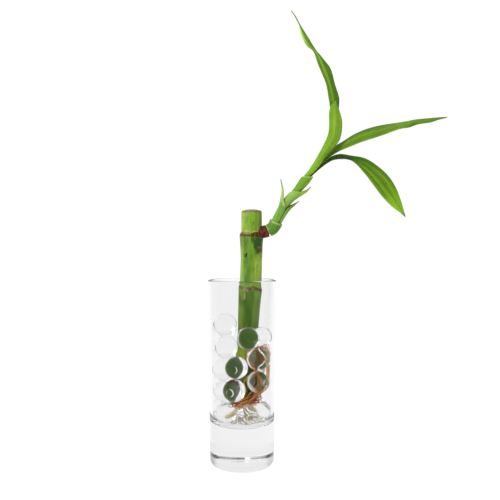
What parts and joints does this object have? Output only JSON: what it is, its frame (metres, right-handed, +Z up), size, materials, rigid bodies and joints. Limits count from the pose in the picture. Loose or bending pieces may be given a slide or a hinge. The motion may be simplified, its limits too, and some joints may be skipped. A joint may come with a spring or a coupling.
{
  "type": "lucky bamboo in a glass vase",
  "caption": "Cut lucky bamboo cane with a leafy side shoot, standing in a heavy-based clear glass cylinder among clear round marbles and its roots.",
  "frame": {"origin": "centre of the vase's flat underside, on the surface that it stands on", "axes": "+Z up; the side shoot leans towards +X; the front, where the picture was taken from, is -Y"},
  "size_m": [0.1846, 0.0504, 0.3389],
  "materials": {
    "vase_glass": "clear, polished",
    "marble_glass": "clear, polished",
    "cane_skin": "smooth green skin with fine lengthwise streaks and brown scar rings",
    "shoot_skin": "soft green stem with a red-brown collar",
    "sheath_skin": "thin pale green scale, satin",
    "leaf_blade": "satin green blade with fine parallel veins",
    "root_orange": "damp orange to red-brown root",
    "root_pale": "damp pale root"
  },
  "bodies": {
    "root": {"vase": "vase_glass", "marble_01": "marble_glass", "marble_02": "marble_glass", "marble_03": "marble_glass", "marble_04": "marble_glass", "marble_05": "marble_glass", "marble_06": "marble_glass", "marble_07": "marble_glass", "marble_08": "marble_glass", "marble_09": "marble_glass", "marble_10": "marble_glass", "marble_11": "marble_glass", "marble_12": "marble_glass", "marble_13": "marble_glass", "marble_14": "marble_glass", "marble_15": "marble_glass", "marble_16": "marble_glass", "cane": "cane_skin", "shoot_stem": "shoot_skin", "sheath_cup": "sheath_skin", "sheath_left": "sheath_skin", "sheath_right": "sheath_skin", "sheath_upper": "sheath_skin", "sheath_top": "sheath_skin", "leaf_young": "leaf_blade", "leaf_tall": "leaf_blade", "leaf_right": "leaf_blade", "leaf_drooping": "leaf_blade", "roots_orange": "root_orange", "roots_pale": "root_pale"}
  },
  "joints": []
}
